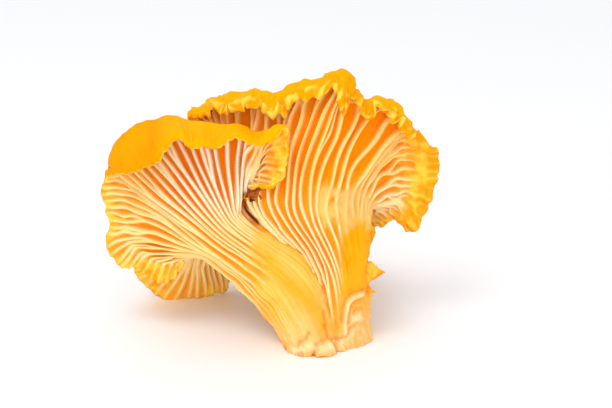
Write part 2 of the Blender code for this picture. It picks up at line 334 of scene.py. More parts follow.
def growth_point(rows, growth):
    """Points at one growth on lines through rows, which never swing past a row's points."""
    gaps = np.diff(ROW_GROWTH)
    slopes = np.diff(rows, axis=0) / gaps[:, None, None]
    tangents = np.concatenate((slopes[:1], np.zeros_like(slopes[1:]), slopes[-1:]))
    for i in range(1, len(rows) - 1):
        before = gaps[i - 1] + 2 * gaps[i]
        after = 2 * gaps[i - 1] + gaps[i]
        same = slopes[i - 1] * slopes[i] > 0
        first = np.where(same, slopes[i - 1], 1.0)
        second = np.where(same, slopes[i], 1.0)
        tangents[i] = np.where(same, (before + after) / (before / first + after / second), 0.0)
    left = min(max(int(np.searchsorted(ROW_GROWTH, growth, side="right")) - 1, 0), len(gaps) - 1)
    gap = gaps[left]
    t = (growth - ROW_GROWTH[left]) / gap
    start = (1 + 2 * t) * (1 - t) ** 2 * rows[left] + t * (1 - t) ** 2 * gap * tangents[left]
    end = t**2 * (3 - 2 * t) * rows[left + 1] - t**2 * (1 - t) * gap * tangents[left + 1]
    return start + end


def nearness(points, place, reach):
    """1 at a place and 0 well beyond a reach from it."""
    return np.exp(-((np.linalg.norm(points - place, axis=1) / reach) ** 2))


def dress_peak(points):
    """Points with the peak of the right cap drawn together, and the shoulder beside it lifted."""
    height = points[:, 2]
    near = nearness(points, PEAK, 5.0) * smoothstep(43.5, 47.5, height)
    beside = nearness(points, SHOULDER, 3.4) * smoothstep(43.5, 46.5, height)
    dressed = points.copy()
    dressed[:, 0] += 0.6 * near * (PEAK_TOP_X - points[:, 0])
    dressed[:, 2] += 1.1 * beside
    return dressed


class Funnel:
    """One cap and its half of the stem.

    The gills start in fours, which fork into pairs, which fork into single gills. Each kind of
    funnel gives:
    gills, the number at the margin, a multiple of four;
    half_widths, half a gill's width at growths of 0.2, 0.45 and 0.7, mm;
    gill_height, its height, mm;
    gill_depths, the share of that height at each growth of DEPTH_GROWTH;
    four_forks and pair_forks, the growths between which fours and pairs fork;
    wandering, how far the gills meander, in gill spacings;
    gill_steps, where the columns lie on a gill, from its left foot to its right;
    skin_relief and crumpling, how rough the upper skin and the margin are;
    fold_height, where the fold below the rolled top lies, in which shade is painted on the gills, mm;
    seed, which its random draws come from.
    """

    def __init__(self, name, rings, cap):
        self.name = name
        self.rings = rings
        self.columns = self.gills * (len(self.gill_steps) + 1)
        angles = np.radians([angle for angle, _, _ in cap])
        crest = np.array([point for _, point, _ in cap], float)
        margin = np.array([point for _, _, point in cap], float)
        rows = []
        for centre, first, second in rings:
            ring = np.array(centre) + np.outer(np.cos(angles), first)
            rows.append(ring + np.outer(np.sin(angles), second))
        net = np.array(rows + [crest, margin])
        # The loop is paced by the length of the crest, and a little by the margin's.
        steps = 0.3 * np.linalg.norm(np.roll(margin, -1, 0) - margin, axis=1)
        steps += 0.7 * np.linalg.norm(np.roll(crest, -1, 0) - crest, axis=1)
        knots = np.concatenate(((0.0,), np.cumsum(steps)[:-1])) / steps.sum()
        self.loop = LoopCurve(knots, net.transpose(1, 0, 2).reshape(len(cap), -1))
        self.draw_chances()

    def draw_chances(self):
        """Where each gill forks, how tall it is, how its line wanders, and the ruffles and dimples."""
        rng = np.random.default_rng(self.seed)
        index = np.arange(self.gills)
        self.four_start = rng.uniform(*self.four_forks, self.gills // 4)[index // 4]
        self.pair_start = rng.uniform(*self.pair_forks, self.gills // 2)[index // 2]
        self.offset = rng.uniform(-0.13, 0.13, self.gills)
        self.tallness = rng.uniform(0.8, 1.08, self.gills)
        self.sways = []
        for _ in range(5):
            self.sways.append((rng.integers(3, 9), rng.uniform(0.8, 2.4), rng.uniform(0, math.tau)))
        self.wobbles = []
        for _ in range(3):
            self.wobbles.append((rng.uniform(5, 11), rng.uniform(0, math.tau, self.gills)))
        self.coarse_dimples = Ripples(rng, 5.0)
        self.fine_dimples = Ripples(rng, 1.6)
        self.crumples = Ripples(rng, 1.7)
        self.frills = [(cycles, rng.uniform(0, math.tau, 3)) for cycles in (19, 29, 41, 60, 113)]

    def rows_at(self, around):
        """The points of ROW_GROWTH's rows at places around the loop."""
        return self.loop.at(around).reshape(len(around), len(ROW_GROWTH), 3).transpose(1, 0, 2)

    def sheet(self, around, growth):
        """Points of the smooth gill side, its outward normals and its directions of growth."""
        step = 0.002
        rows = self.rows_at(around)
        points = growth_point(rows, growth)
        up = growth_point(rows, min(growth + step, 1.0)) - growth_point(rows, max(growth - step, 0.0))
        across = growth_point(self.rows_at(around + step), growth)
        across -= growth_point(self.rows_at(around - step), growth)
        normals = np.cross(across, up)
        normals /= np.maximum(np.linalg.norm(normals, axis=1, keepdims=True), 1e-12)
        up /= np.maximum(np.linalg.norm(up, axis=1, keepdims=True), 1e-12)
        return points, normals, up

    def gill_lines(self, growth):
        """At one growth: the line of each gill, the start of its strip, and how far its pair is open."""
        index = np.arange(self.gills)
        sway = np.zeros(self.gills)
        for cycles, turns, phase in self.sways:
            sway += np.sin(math.tau * (cycles * index / self.gills + turns * growth) + phase)
        sway *= 0.22 * smoothstep(0.1, 0.4, growth) * smoothstep(1.0, 0.8, growth)
        four_open = smoothstep(0.0, 0.14, growth - self.four_start)
        pair_open = smoothstep(0.0, 0.12, growth - self.pair_start) * four_open
        lines = index + 0.5 + self.offset
        meander = np.zeros(self.gills)
        for turns, phase in self.wobbles:
            lines = lines + 0.035 * np.sin(turns * math.tau * growth + phase)
            meander += self.wandering * np.sin(0.6 * turns * math.tau * growth + phase[index // 2 * 2])
        pair_centre = (index // 2) * 2 + 1.0
        four_centre = (index // 4) * 4 + 2.0
        # Before a fork opens, its gills lie together at the middle of the pair or the four.
        lines = pair_centre + pair_open * (lines - pair_centre)
        lines = four_centre + four_open * (lines - four_centre)
        return lines + sway + meander * smoothstep(1.0, 0.85, growth), index + sway, pair_open

    def gill_spacing(self, growth):
        """Distance between neighbouring gills all around the loop at one growth, mm."""
        index = np.arange(self.gills)
        here = self.rows_at(index / self.gills)
        there = self.rows_at((index + 1) / self.gills)
        spacing = np.linalg.norm(growth_point(there, growth) - growth_point(here, growth), axis=1)
        return np.maximum(spacing, 0.05)

    def gill_columns(self, growth):
        """Place of every column around the loop, and its height on the gills, at one growth."""
        lines, start, pair_open = self.gill_lines(growth)
        spacing = self.gill_spacing(growth)
        half_width = np.interp(growth, (0.2, 0.45, 0.7), self.half_widths)
        # The columns of a strip crowd on its gill once the pair is open, and are even before that.
        width = np.append(start[1:], start[0] + self.gills) - start
        crest = np.clip(lines - start, 0.3 * width, 0.7 * width)
        outer = np.minimum(1.25 * half_width / spacing, 0.24 * width)
        steps = [0 * crest] + [crest + outer * share for share in self.gill_steps]
        follow = start[:, None] + np.stack(steps, axis=1)
        uniform = start[:, None] + width[:, None] * np.arange(len(steps)) / len(steps)
        places = uniform + (follow - uniform) * smoothstep(0.5, 1.0, pair_open)[:, None]

        # The height comes from the nearest of the seven gills around, of which one is the column's own.
        height = np.zeros_like(places)
        for shift in range(-3, 4):
            other = np.roll(lines, -shift)
            if shift < 0:
                other[:-shift] -= self.gills
            if shift > 0:
                other[-shift:] += self.gills
            distance = np.abs(places - other[:, None]) * spacing[:, None] / half_width
            tall = np.roll(self.tallness, -shift)[:, None]
            height = np.maximum(height, tall * np.exp(-0.9 * distance**2.2))
        return places.ravel() / self.gills, height.ravel()

    def flesh(self, growth):
        """Thickness of the flesh: full near the stem, thin and rounded off at the margin."""
        places = (HOLLOW_GROWTH, 0.9, 1.0)
        thickness = np.interp(growth, places, (FLESH_THICKNESS, RIM_THICKNESS, MARGIN_THICKNESS))
        edge = 1 - np.clip((1 - growth) / ROUNDED_GROWTH, 0, 1)
        return thickness * np.sqrt(1 - edge**2)

    def frill(self, around, growth, points, normals, up):
        """Points of the sheet with the margin's ruffles added, mm."""
        wave = np.zeros(len(around))
        pull = np.zeros(len(around))
        turn = math.tau * around
        for cycles, (first, second, third) in self.frills:
            # Each wave comes and goes around the cap, and short waves are lower.
            strength = (0.6 + 0.5 * np.sin(turn * (cycles % 7 + 2) + third)) * (19 / cycles) ** 0.75
            wave += strength * np.sin(turn * cycles + first)
            pull += strength * np.sin(turn * cycles + second)
        amount = self.frill_amount(points)
        wave *= RUFFLE_WAVE * amount * smoothstep(0.8, 1.0, growth)
        pull *= RUFFLE_REACH * amount * smoothstep(0.86, 1.0, growth)
        pull += self.crumpling * amount * self.crumples(points) * smoothstep(0.95, 1.0, growth)
        # The same noise at another place serves as a second one.
        elsewhere = points + 9.0
        wave += self.crumpling * amount * self.crumples(elsewhere) * smoothstep(0.94, 0.99, growth)
        return points + normals * wave[:, None] + up * pull[:, None]

    def mark(self, around, growth, points, height, depth, skin):
        """What the material needs to know of each point, in the order of MARKS."""
        turn = math.tau * around
        pads = np.maximum(closeness(points, PADS, PAD_WIDTH), closeness(points, LIP, LIP_WIDTH))
        creases = closeness(points, CREASES, CREASE_SHADE_WIDTH)
        marks = (
            # The gill height mark is lowered by painted shade in the fold below the rolled top, and on the
            # right lobe's margin where its gills fade out.
            height * (1 - 0.45 * self.fold_shade_and_lobe_fade(points, growth)),
            np.full_like(around, growth),
            np.full_like(around, skin),
            depth,
            growth - self.yellow_start(points),
            np.maximum(closeness(points, DEEP_STRIPE, STRIPE_WIDTH), self.deep_side(points)),
            pads + self.pale_middle(points),
            # Painted shade in the creases of the feet and along the seam of the rolled top.
            np.maximum(creases, 0.7 * closeness(points, SEAM, SEAM_WIDTH)),
            # Painted shadow in the slit between the caps.
            smoothstep(1.7, 0.8, line_distance(points, SLIT)),
            self.crest_highlight(points),
            np.cos(turn),
            np.sin(turn),
        )
        return np.stack(marks, 1)

    def fold_shade_and_lobe_fade(self, points, growth):
        """How much painted shade lowers the gill crests in the fold below the rolled top, 0 to 1."""
        high = smoothstep(self.fold_height - 4.0, self.fold_height, points[:, 2])
        return smoothstep(0.74, 0.9, growth) * high

    def near_margin(self, growth):
        """1 just inside the margin, 0 at the margin and far from it."""
        return smoothstep(0.8, 0.9, growth) * smoothstep(1.0, 0.97, growth)

    def frill_amount(self, points):
        """How strong the ruffles are, 0 to 1."""
        return np.ones(len(points))

    def deep_side(self, points):
        """How deep yellow a smooth side of the stem is, 0 to 1."""
        return np.zeros(len(points))

    def pale_middle(self, points):
        """How pale the middle of the cap is, 0 to 1."""
        return np.zeros(len(points))

    def relief(self, points):
        """Creases, pads and lip of the feet, mm."""
        pads = PAD_HEIGHT * closeness(points, PADS, PAD_WIDTH)
        lip = LIP_HEIGHT * closeness(points, LIP, LIP_WIDTH)
        return pads + lip - CREASE_DEPTH * closeness(points, CREASES, CREASE_WIDTH)

    def gill_side(self):
        """Rows of the side with the gills, from the cut stem to the margin, and their marks."""
        steps = np.arange(GILL_ROWS[-1][0] + 1)
        row_numbers, growths = zip(*GILL_ROWS)
        points = []
        marks = []
        for growth in np.interp(steps, row_numbers, growths):
            around, height = self.gill_columns(growth)
            base, normals, up = self.sheet(around, growth)
            depth = self.gill_depth(base, growth)
            lift = (height - 0.5) * depth * self.gill_height + self.lumps(base, growth) + self.relief(base)
            scallop = self.scallop(base) * (height - 0.5) * smoothstep(0.9, 1.0, growth)
            marks.append(self.mark(around, growth, base, height, depth, 0.0))
            base = self.frill(around, growth, base, normals, up)
            points.append(base + normals * lift[:, None] + up * scallop[:, None])
        return points, marks

    def upper_side(self):
        """Rows of the upper skin, from the margin into the hollow, and their marks."""
        around, height = self.gill_columns(1.0)
        start, _, _ = self.sheet(around, 0.5)
        end, _, _ = self.sheet(around, 1.0)
        # The flesh is thinner where the cap reaches less far out.
        slender = np.clip(np.linalg.norm(end - start, axis=1) / FULL_REACH, 0.35, 1.0)
        points = []
        marks = []
        for growth in 1 - (1 - HOLLOW_GROWTH) * (np.arange(1, SKIN_ROWS + 1) / SKIN_ROWS) ** 1.25:
            base, normals, up = self.sheet(around, growth)
            inside = smoothstep(1.0, 0.985, growth)
            grains = self.crumples(1.1 * base)
            knobs = nearness(base, PEAK, 4.0) * self.crumples(0.9 * base)
            dimples = COARSE_DIMPLE * self.coarse_dimples(base) + FINE_DIMPLE * self.fine_dimples(base)
            beads = 0.4 * self.scallop(base) * (height - 0.5) * smoothstep(0.94, 0.98, growth)
            thickness = self.flesh(growth) * slender
            thickness += 1.8 * self.crumpling * smoothstep(0.93, 0.96, growth) * inside * grains
            thickness += KNOB_HEIGHT * knobs - SEAM_DEPTH * closeness(base, SEAM, SEAM_WIDTH)
            thickness += self.skin_relief * dimples * smoothstep(1.0, 0.95, growth)
            thickness += beads * inside
            scallop = self.scallop(base) * (height - 0.5) * smoothstep(0.96, 1.0, growth)
            marks.append(self.mark(around, growth, base, smoothstep(-0.8, 0.8, grains), 0 * height, 1.0))
            base = self.frill(around, growth, base, normals, up)
            points.append(base - normals * thickness[:, None] + up * scallop[:, None])
        return points, marks

    def rows(self):
        """Every row of the closed skin, and the marks of its points."""
        gill_points, gill_marks = self.gill_side()
        skin_points, skin_marks = self.upper_side()
        points = gill_points + skin_points
        marks = gill_marks + skin_marks
        # The skin sinks to a closed bottom of the hollow.
        rim = points[-1]
        centre = rim.mean(0)
        sink = np.array(self.rings[2][0]) - np.array(self.rings[1][0])
        sink = -sink / np.linalg.norm(sink)
        for t in np.arange(1, END_ROWS + 1) / END_ROWS:
            points.append(centre + (rim - centre) * (1 - t) + sink * math.sin(t * math.pi / 2))
            marks.append(marks[-1])
        points = [dress_peak(row) for row in points]
        # The stem is closed flat, below the ground, where it is cut off later.
        cut = points[0]
        cut_rows = []
        for t in np.arange(END_ROWS) / END_ROWS:
            cut_rows.append(cut.mean(0) + (cut - cut.mean(0)) * t)
        return np.array(cut_rows + points), np.array([marks[0]] * END_ROWS + marks)


class LeftFunnel(Funnel):
    """The left cap, whose margin rolls smoothly over the gills."""

    gills = 108
    half_widths = (0.28, 0.33, 0.46)
    gill_height = 1.75
    gill_depths = (0.0, 0.0, 0.4, 0.7, 1.0, 0.7, 0.2)
    four_forks = (0.2, 0.44)
    pair_forks = (0.5, 0.78)
    wandering = 0.06
    gill_steps = (-1.0, -0.4, 0.0, 0.4, 1.0)
    skin_relief = 1.0
    crumpling = 0.1
    fold_height = 37.0
    seed = 7

    def gill_depth(self, points, growth):
        """How deep the gills are, 0 to 1: they end along a slanting, ragged line on the stem."""
        x, _, z = points.T
        depth = np.interp(growth, DEPTH_GROWTH, self.gill_depths)
        line = x + 5.4 - (27.6 - z) * 0.23
        line = line + 1.3 * self.coarse_dimples(points) + 0.6 * self.fine_dimples(points)
        smooth = smoothstep(-3.6, 4.0, line) * smoothstep(28.5, 25.0, z) * smoothstep(0.62, 0.5, growth)
        tip = 0.6 * smoothstep(-2.0, 1.0, x) * smoothstep(0.8, 0.9, growth)
        return depth * (1 - smooth) * (1 - tip)

    def frill_amount(self, points):
        """How strong the ruffles are, 0 to 1: least along the rolled top."""
        hidden_lobe = smoothstep(14.0, 10.0, points[:, 2]) * smoothstep(-6.0, 0.0, points[:, 1])
        tip = smoothstep(-1.0, 1.5, points[:, 0])
        return (0.3 + 0.4 * smoothstep(31.0, 25.0, points[:, 2]) + 0.3 * tip) * (1 - 0.5 * hidden_lobe)

    def scallop(self, points):
        """How far the margin reaches out at each gill, mm."""
        return 0.16 * self.frill_amount(points)

    def yellow_start(self, points):
        """The growth at which the yellow margin starts."""
        x, y, z = points.T
        tip = smoothstep(-2.0, 1.0, x) * smoothstep(29.0, 31.0, z)
        front = smoothstep(-28.0, -26.0, x) * smoothstep(-4.0, -7.0, y) * smoothstep(15.5, 13.5, z)
        return 0.93 - 0.08 * tip - 0.12 * front

    def crest_highlight(self, points):
        """How strongly the gill edges are painted white as a highlight, 0 to 1: most below the top, and
        lowered by painted shade in the fold at the tip.
        """
        x, _, z = points.T
        # Painted shade: in the deep fold at the tip the painted highlight is taken away, so the crests
        # there take the deeper orange of shade.
        fold = smoothstep(-6.0, -3.0, x) * smoothstep(29.0, 31.0, z)
        return smoothstep(-25.0, -15.0, x) * smoothstep(21.0, 31.0, z) * (1 - 0.9 * fold)

    def lumps(self, points, growth):
        """Dents and swellings of the stem, and lumps of the tip's margin, mm."""
        amount = smoothstep(0.5, 0.2, growth)
        foot = smoothstep(0.12, 0.05, growth)
        tip = smoothstep(-2.0, 1.0, points[:, 0]) * self.near_margin(growth)
        fine = (0.1 + 0.15 * foot) * self.fine_dimples(points)
        dents = amount * (0.3 * self.coarse_dimples(points) + fine)
        return dents + 0.3 * tip * self.crumples(points)


class RightFunnel(Funnel):
    """The right cap, with a ruffled margin, a smooth side to its stem and a lobe on the right."""

    gills = 92
    half_widths = (0.3, 0.36, 0.5)
    gill_height = 1.8
    gill_depths = (0.0, 0.15, 0.6, 0.8, 1.0, 0.7, 0.2)
    four_forks = (0.02, 0.14)
    pair_forks = (0.5, 0.76)
    wandering = 0.15
    gill_steps = (-1.0, -0.7, -0.35, 0.0, 0.35, 0.7, 1.0)
    skin_relief = 2.2
    crumpling = 0.22
    fold_height = 41.0
    seed = 16

    def gill_depth(self, points, growth):
        """How deep the gills are, 0 to 1: shallow in the middle, none on the stem's right side."""
        depth = np.interp(growth, DEPTH_GROWTH, self.gill_depths)
        ragged = 0.8 * self.coarse_dimples(points) + 0.5 * self.fine_dimples(points)
        x = points[:, 0] + 0.3 * ragged
        z = points[:, 2] + ragged
        stem = smoothstep(0.64, 0.5, growth)
        smooth = smoothstep(12.0, 14.5, x) * smoothstep(29.0, 23.0, z) * stem
        patch = z + 1.2 * ragged
        middle = smoothstep(4.0, 11.0, x) * smoothstep(22.0, 27.5, patch) * smoothstep(35.0, 29.0, patch)
        lobe = 0.85 * smoothstep(21.0, 26.0, points[:, 0]) * smoothstep(0.84, 0.94, growth)
        return depth * (1 - smooth) * (1 - 0.8 * stem * middle) * (1 - lobe)

    def scallop(self, points):
        """How far the margin reaches out at each gill, mm."""
        return 0.35 - 0.2 * smoothstep(22.0, 26.0, points[:, 0])

    def fold_shade_and_lobe_fade(self, points, growth):
        """How much the gill crests fade, 0 to 1: painted shade below the rolled top, and the gills fading
        out on the margin of the right lobe.
        """
        lobe = 1.4 * smoothstep(22.0, 26.0, points[:, 0]) * smoothstep(0.84, 0.95, growth)
        return np.maximum(super().fold_shade_and_lobe_fade(points, growth), lobe)

    def yellow_start(self, points):
        """The growth at which the yellow margin starts."""
        return 0.88 - 0.04 * smoothstep(22.0, 27.0, points[:, 0])

    def crest_highlight(self, points):
        """How strongly the gill edges are painted white as a highlight, 0 to 1: most in the lower half."""
        return smoothstep(33.0, 26.0, points[:, 2])

    def deep_side(self, points):
        """How deep yellow the smooth right side of the stem is, 0 to 1."""
        x, _, z = points.T
        return smoothstep(12.0, 14.5, x) * smoothstep(9.5, 12.0, z) * smoothstep(27.0, 21.0, z)

    def pale_middle(self, points):
        """How pale the fibrous patch in the middle of the cap is, 0 to 1."""
        x, _, z = points.T
        patch = z + 2.0 * self.coarse_dimples(points) + self.fine_dimples(points)
        between = smoothstep(20.0, 27.0, patch) * smoothstep(35.0, 29.0, patch)
        return 0.4 * smoothstep(4.0, 10.0, x) * between

    def lumps(self, points, growth):
        """Dents and swellings of the stem, and lumps of the lobe's margin, mm."""
        amount = smoothstep(0.6, 0.3, growth)
        foot = smoothstep(0.14, 0.06, growth)
        lobe = smoothstep(21.0, 26.0, points[:, 0]) * self.near_margin(growth)
        fine = (0.1 + 0.15 * foot) * self.fine_dimples(points)
        dents = amount * (0.25 * self.coarse_dimples(points) + fine)
        return dents + 0.5 * lobe * self.crumples(0.8 * points)


# What the material needs to know of each point: its height on the gills, its growth, whether it is
# on the upper skin, the depth of the gills, how far it is past the start of the yellow margin, how
# deep or pale the stem is, painted shade in the creases, painted shadow in the slit between the caps,
# how strong the painted highlight on the gill edges is, and its place around the loop on a circle.
MARKS = (
    "ridge",
    "growth",
    "skin",
    "depth",
    "yellow",
    "deep",
    "pale",
    "crease_shade",
    "slit_shadow",
    "white",
    "turn_x",
    "turn_y",
)


def lay_on_rows(funnel):
    """A closed mesh: a grid laid on the funnel's rows, joined along its seam and at its poles."""
    rows, marks = funnel.rows()
    shape = bmesh.new()
    bmesh.ops.create_grid(shape, x_segments=funnel.columns, y_segments=len(rows) - 1, size=1.0)
    mesh = bpy.data.meshes.new(funnel.name)
    shape.to_mesh(mesh)
    shape.free()
    grid = np.empty(len(mesh.vertices) * 3)
    mesh.vertices.foreach_get("co", grid)
    grid = grid.reshape(-1, 3)
    row = np.rint((grid[:, 1] + 1) / 2 * (len(rows) - 1)).astype(int)
    column = np.rint((grid[:, 0] + 1) / 2 * funnel.columns).astype(int) % funnel.columns
    places = (rows[row, column] + ORIGIN_SHIFT) * MM
    mesh.vertices.foreach_set("co", places.ravel())
    for index, label in enumerate(MARKS):
        layer = mesh.attributes.new(label, "FLOAT", "POINT")
        layer.data.foreach_set("value", marks[row, column, index].astype(np.float32))
    shape = bmesh.new()
    shape.from_mesh(mesh)
    bmesh.ops.remove_doubles(shape, verts=shape.verts, dist=1e-8)
    cut_flat(shape)
    shape.to_mesh(mesh)
    shape.free()
    mesh.update()
    return mesh


def cut_flat(shape):
    """Cut the shape off at the ground and close the cut."""
    everything = shape.verts[:] + shape.edges[:] + shape.faces[:]
    made = bmesh.ops.bisect_plane(
        shape, geom=everything, dist=1e-7, plane_co=(0, 0, 0), plane_no=(0, 0, -1), clear_outer=True
    )
    edges = [part for part in made["geom_cut"] if isinstance(part, bmesh.types.BMEdge)]
    bmesh.ops.holes_fill(shape, edges=edges, sides=0)
    bmesh.ops.triangulate(shape, faces=[face for face in shape.faces if len(face.verts) > 4])
    bmesh.ops.recalc_face_normals(shape, faces=shape.faces)


class Link:
    """An output of a material's node, on which Python's arithmetic adds Math nodes."""

    def __init__(self, finish, socket):
        self.finish = finish
        self.socket = socket

    def maths(self, operation, *values):
        return self.finish.node("ShaderNodeMath", {"operation": operation}, dict(enumerate(values)))

    def __add__(self, other):
        return self.maths("ADD", self, other)

    def __radd__(self, other):
        return self.maths("ADD", other, self)

    def __sub__(self, other):
        return self.maths("SUBTRACT", self, other)

    def __rsub__(self, other):
        return self.maths("SUBTRACT", other, self)

    def __mul__(self, other):
        return self.maths("MULTIPLY", self, other)

    def __rmul__(self, other):
        return self.maths("MULTIPLY", other, self)


class Finish:
    """A material under construction, with the parts of its place in metres."""

    def __init__(self, name):
        self.material = bpy.data.materials.new(name)
        self.material.use_nodes = True
        self.tree = self.material.node_tree
        self.surface = self.tree.nodes["Principled BSDF"]
        self.place = self.node("ShaderNodeTexCoord", {}, {}, "Object")
        self.across = self.node("ShaderNodeSeparateXYZ", {}, {"Vector": self.place}, "X")
        self.back = self.node("ShaderNodeSeparateXYZ", {}, {"Vector": self.place}, "Y")
        self.up = self.node("ShaderNodeSeparateXYZ", {}, {"Vector": self.place}, "Z")

    def node(self, kind, settings, inputs, output=0):
        """A new node, with its settings and the values or links of its sockets."""
        node = self.tree.nodes.new(kind)
        for name, value in settings.items():
            setattr(node, name, value)
        for name, value in inputs.items():
            if isinstance(value, Link):
                self.tree.links.new(value.socket, node.inputs[name])
            else:
                node.inputs[name].default_value = value
        return Link(self, node.outputs[output])

    def attribute(self, name):
        """One of the mesh's marks."""
        return self.node("ShaderNodeAttribute", {"attribute_name": name}, {}, "Fac")

    def rise(self, value, low, high):
        """0 below low, 1 above high, with a smooth rise between; low may be the greater."""
        inputs = {"Value": value, "From Min": low, "From Max": high}
        return self.node("ShaderNodeMapRange", {"interpolation_type": "SMOOTHSTEP"}, inputs)

    def noise(self, size, detail=2.0, roughness=0.5):
        """Cloudy noise around 0.5, with lumps of about size metres."""
        inputs = {"Vector": self.place, "Scale": 0.5 / size, "Detail": detail, "Roughness": roughness}
        return self.node("ShaderNodeTexNoise", {}, inputs, "Fac")

    def mix(self, share, first, second):
        """A colour between first and second."""
        return self.node("ShaderNodeMix", {"data_type": "RGBA"}, {0: share, 6: first, 7: second}, 2)

    def set(self, **values):
        """Give sockets of the surface, named with underscores, their values or links."""
        for name, value in values.items():
            socket = self.surface.inputs[name.replace("_", " ")]
            if isinstance(value, Link):
                self.tree.links.new(value.socket, socket)
            else:
                socket.default_value = value


def colour(red, green, blue):
    """A colour for a shader, from screen values of 0 to 255."""
    linear = []
    for value in (red, green, blue):
        value = value / 255
        linear.append(value / 12.92 if value <= 0.04045 else ((value + 0.055) / 1.055) ** 2.4)
    return (*linear, 1.0)


# Colours that both caps share.
CUT_DEEP = colour(248, 180, 92)
CUT_PALE = colour(252, 205, 140)
STEM_SIDE = colour(254, 166, 0)
PALE_FIBRES = colour(255, 226, 172)
# Painted shade in the creases of the feet.
CREASE_SHADE = colour(244, 146, 40)
SOIL_STAIN = colour(176, 92, 30)
MARGIN_DEEP = colour(255, 164, 6)
MARGIN_BRIGHT = colour(255, 212, 72)
MARGIN_EDGES = colour(255, 222, 120)
# Painted shade along the seam of the rolled top.
SKIN_CREASE_SHADE = colour(255, 138, 0)
BEAD_FOOT = colour(255, 158, 2)
BEAD_TOP = colour(255, 216, 84)
# Painted shadow in the slit between the caps.
SLIT_SHADOW = colour(170, 72, 8)


def flesh_finish(
    name, crest, white_lit_crest, shaded_valley, white_shaded_valley, stem_pale, stem_deep, skin_low, skin_high, rim
):
    """Flesh of one cap: pale gill edges, deeper clefts, yellow margin and orange-yellow skin.

    The paler gill edges and deeper clefts are partly the gills' own colour and partly painted highlight on
    the crests and painted shade in the clefts. The white colours are for where that painted highlight on
    the gill edges is strongest, and rim is how beaded the edge of the upper skin looks, 0 to 1.
    """
    finish = Finish(name)
    ridge = finish.attribute("ridge")
    growth = finish.attribute("growth")
    skin = finish.attribute("skin")
    depth = finish.attribute("depth")
    deep = finish.attribute("deep")
    clouds = finish.noise(0.006)
    specks = finish.noise(0.0016, 3.0)
    turn = {"X": 3.0 * finish.attribute("turn_x"), "Y": 3.0 * finish.attribute("turn_y"), "Z": 1.1 * growth}
    lanes = finish.node("ShaderNodeCombineXYZ", {}, turn)
    streaks = finish.node("ShaderNodeTexNoise", {}, {"Vector": lanes, "Scale": 4.5, "Detail": 4.0}, "Fac")

    # Painted light on the gills: the crests are coloured paler as painted highlight and the clefts deeper
    # orange as painted shade, most strongly where the white mark is high.
    white = finish.attribute("white")
    crest = finish.mix(white, crest, white_lit_crest)
    shaded_valley = finish.mix(white, shaded_valley, white_shaded_valley)
    flank = finish.mix(finish.rise(ridge, 0.08, 0.42), shaded_valley, finish.mix(0.24, shaded_valley, crest))
    gill = finish.mix(finish.rise(ridge, 0.36, 0.8), flank, crest)
    blotch = finish.rise(0.5 * clouds + 0.5 * streaks, 0.38, 0.62)
    stem = finish.mix(blotch, stem_deep, stem_pale)
    foot = finish.rise(growth + 0.12 * (clouds - 0.5), 0.19, 0.06)
    stem = finish.mix(0.8 * foot, stem, finish.mix(blotch, CUT_DEEP, CUT_PALE))
    stem = finish.mix(0.85 * deep * finish.rise(streaks, 0.2, 0.6), stem, STEM_SIDE)
    stem = finish.mix(finish.attribute("pale") * (0.5 + 0.6 * specks), stem, PALE_FIBRES)
    gill = finish.mix(finish.rise(depth, 0.0, 0.6), stem, gill)
    # Painted shade: the creases are coloured deeper orange.
    gill = finish.mix(0.65 * finish.attribute("crease_shade"), gill, CREASE_SHADE)
    dirt = finish.rise(finish.up, 0.0014, 0.0002) * finish.rise(specks, 0.46, 0.56)
    dirt = dirt * finish.rise(finish.across, 0.013, 0.009)
    gill = finish.mix(0.6 * dirt, gill, SOIL_STAIN)
    yellow = finish.mix(finish.rise(specks, 0.38, 0.62), MARGIN_DEEP, MARGIN_BRIGHT)
    yellow = finish.mix(0.35 * finish.rise(ridge, 0.3, 0.8), yellow, MARGIN_EDGES)
    margin = finish.rise(finish.attribute("yellow") + 0.2 * (specks - 0.5), -0.03, 0.1)
    gill = finish.mix(margin, gill, yellow)
    # Painted light and shade on the upper skin: deeper orange towards the left dome and lighter to the
    # right, mixed with random mottles.
    painted_light_and_mottle = 0.65 * finish.rise(finish.across, -0.025, -0.014) + 0.35 * finish.rise(clouds, 0.3, 0.7)
    top = finish.mix(painted_light_and_mottle, skin_low, skin_high)
    # Painted shade along the seam of the left cap's rolled top.
    top = finish.mix(0.5 * finish.attribute("crease_shade"), top, SKIN_CREASE_SHADE)
    flesh = finish.mix(finish.rise(skin, 0.0, 0.5), gill, top)
    beads = finish.mix(finish.rise(ridge, 0.1, 0.55), BEAD_FOOT, BEAD_TOP)
    rim = rim * finish.rise(finish.back, 0.001, -0.003)
    flesh = finish.mix(rim * finish.rise(growth + 0.05 * (specks - 0.5), 0.94, 0.965), flesh, beads)
    finish.set(
        # Painted shadow: the slit between the caps is coloured dark brown.
        Base_Color=finish.mix(finish.attribute("slit_shadow"), flesh, SLIT_SHADOW),
        Roughness=0.45 + 0.2 * specks,
        Specular_IOR_Level=0.02,
        Subsurface_Weight=0.2,
        Subsurface_Radius=(1.0, 0.5, 0.15),
        Subsurface_Scale=0.0005,
    )
    grain = 0.5 * finish.noise(0.0009, 3.0) + 0.5 * clouds + 0.8 * streaks
    bump = {"Strength": 0.35, "Distance": 0.0005, "Height": grain}
    finish.set(Normal=finish.node("ShaderNodeBump", {}, bump))
    return finish.material


def add_piece(name, mesh, material):
    """Put a mesh in the scene as a piece of the mushroom."""
    mesh.shade_smooth()
    mesh.materials.append(material)
    piece = bpy.data.objects.new(name, mesh)
    bpy.context.scene.collection.objects.link(piece)
    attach(piece, "root")
    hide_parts(NODE)


